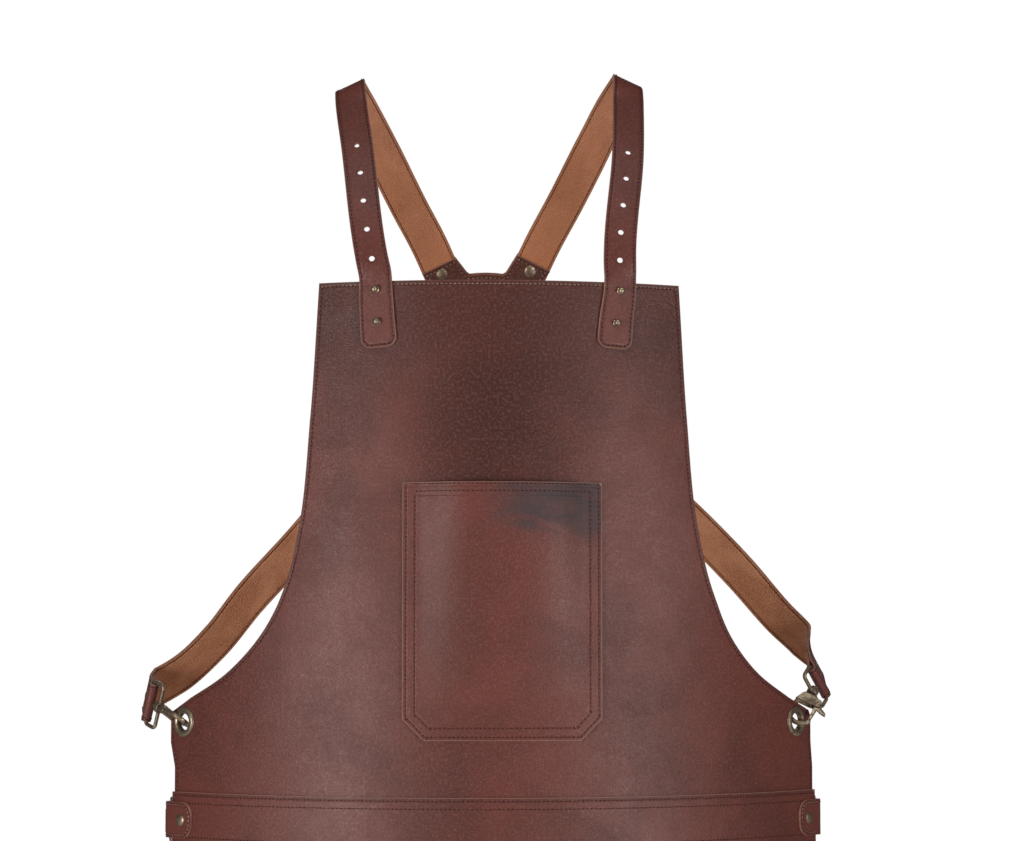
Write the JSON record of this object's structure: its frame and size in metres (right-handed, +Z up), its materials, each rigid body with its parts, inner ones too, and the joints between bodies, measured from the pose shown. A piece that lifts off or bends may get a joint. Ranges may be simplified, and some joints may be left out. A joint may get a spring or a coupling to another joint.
{
  "type": "leather work apron",
  "caption": "Cross-back leather work apron with a chest pocket, waistband, buttoned shoulder straps, riveted yoke and snap hooks clipped into side eyelets.",
  "frame": {"origin": "midway between the two shoulder rests, where the straps lie on what holds the apron up", "axes": "+Z up, the apron's front faces -Y, +X to the right as seen from the front"},
  "size_m": [0.6096, 0.3026, 1.0578],
  "materials": {
    "hide": "waxed pull-up grain, dark red-brown",
    "dark_hide": "waxed grain, darker",
    "suede_side": "tan flesh side, matt",
    "antique_brass": "antique, worn bright on edges"
  },
  "bodies": {
    "apron": {"bib_panel": "hide", "chest_pocket": "hide", "eyelet_left": "antique_brass", "eyelet_right": "antique_brass", "eyelet_washer_left": "antique_brass", "eyelet_washer_right": "antique_brass", "shoulder_strap_left": "hide", "shoulder_strap_right": "hide", "side_strap_left": "suede_side", "side_strap_right": "suede_side", "skirt_panel": "hide", "strap_rivet_left_cap": "antique_brass", "strap_rivet_left_post": "antique_brass", "strap_rivet_right_cap": "antique_brass", "strap_rivet_right_post": "antique_brass", "strap_stud_lower_left": "antique_brass", "strap_stud_lower_left_screw": "antique_brass", "strap_stud_lower_right": "antique_brass", "strap_stud_lower_right_screw": "antique_brass", "strap_stud_upper_left": "antique_brass", "strap_stud_upper_left_screw": "antique_brass", "strap_stud_upper_right": "antique_brass", "strap_stud_upper_right_screw": "antique_brass", "tab_rivet_left_cap": "antique_brass", "tab_rivet_left_post": "antique_brass", "tab_rivet_right_cap": "antique_brass", "tab_rivet_right_post": "antique_brass", "waist_rivet_left_cap": "antique_brass", "waist_rivet_left_post": "antique_brass", "waist_rivet_right_cap": "antique_brass", "waist_rivet_right_post": "antique_brass", "waist_strap": "dark_hide", "waist_tab_left": "hide", "waist_tab_right": "hide", "waistband": "hide", "waistband_facing": "suede_side", "yoke_inner": "dark_hide", "yoke_outer": "dark_hide", "yoke_rivet_lower_left_cap": "antique_brass", "yoke_rivet_lower_left_post": "antique_brass", "yoke_rivet_lower_right_cap": "antique_brass", "yoke_rivet_lower_right_post": "antique_brass", "yoke_rivet_upper_left_cap": "antique_brass", "yoke_rivet_upper_left_post": "antique_brass", "yoke_rivet_upper_right_cap": "antique_brass", "yoke_rivet_upper_right_post": "antique_brass"},
    "ring_left": {"d_ring_left": "antique_brass"},
    "ring_right": {"d_ring_right": "antique_brass"},
    "hook_left": {"snap_hook_left": "antique_brass", "trigger_pin_left": "antique_brass"},
    "hook_right": {"snap_hook_right": "antique_brass", "trigger_pin_right": "antique_brass"},
    "eye_left": {"swivel_eye_left": "antique_brass"},
    "eye_right": {"swivel_eye_right": "antique_brass"},
    "trigger_left": {"trigger_left": "antique_brass"},
    "trigger_right": {"trigger_right": "antique_brass"}
  },
  "joints": [
    {"name": "eye_swing_left", "type": "hinge", "parent": "apron", "child": "eye_left", "pos_m": [-0.29705, 0.04421, -0.53972], "axis": [-0.2237, 0.2366, -0.9455], "range_deg": [-1.5, 1.5]},
    {"name": "hook_swivel_left", "type": "hinge", "parent": "eye_left", "child": "hook_left", "pos_m": [-0.26457, 0.00986, -0.556], "axis": [-0.6496, 0.6871, 0.3256], "range_deg": [-48, 8]},
    {"name": "trigger_press_left", "type": "hinge", "parent": "hook_left", "child": "trigger_left", "pos_m": [-0.27596, 0.03451, -0.55243], "axis": [-0.557, -0.1386, -0.8188], "range_deg": [0, 8], "stiffness_Nm_per_rad": 0.05, "springref_deg": -17.19},
    {"name": "ring_turn_left", "type": "hinge", "parent": "apron", "child": "ring_left", "pos_m": [-0.27527, 0.02183, -0.6426], "axis": [0, 0, 1], "range_deg": [-5, 5]},
    {"name": "eye_swing_right", "type": "hinge", "parent": "apron", "child": "eye_right", "pos_m": [0.2911, 0.03826, -0.5219], "axis": [0.4654, 0.4985, -0.7314], "range_deg": [-1.5, 1.5]},
    {"name": "hook_swivel_right", "type": "hinge", "parent": "eye_right", "child": "hook_right", "pos_m": [0.26614, 0.01153, -0.556], "axis": [0.4991, 0.5346, 0.682], "range_deg": [-72, 6]},
    {"name": "trigger_press_right", "type": "hinge", "parent": "hook_right", "child": "trigger_right", "pos_m": [0.28753, 0.02243, -0.5428], "axis": [-0.038, 0.7998, -0.5991], "range_deg": [0, 8], "stiffness_Nm_per_rad": 0.05, "springref_deg": -17.19},
    {"name": "ring_turn_right", "type": "hinge", "parent": "apron", "child": "ring_right", "pos_m": [0.28544, 0.03412, -0.6426], "axis": [0, 0, 1], "range_deg": [-5, 5]}
  ]
}
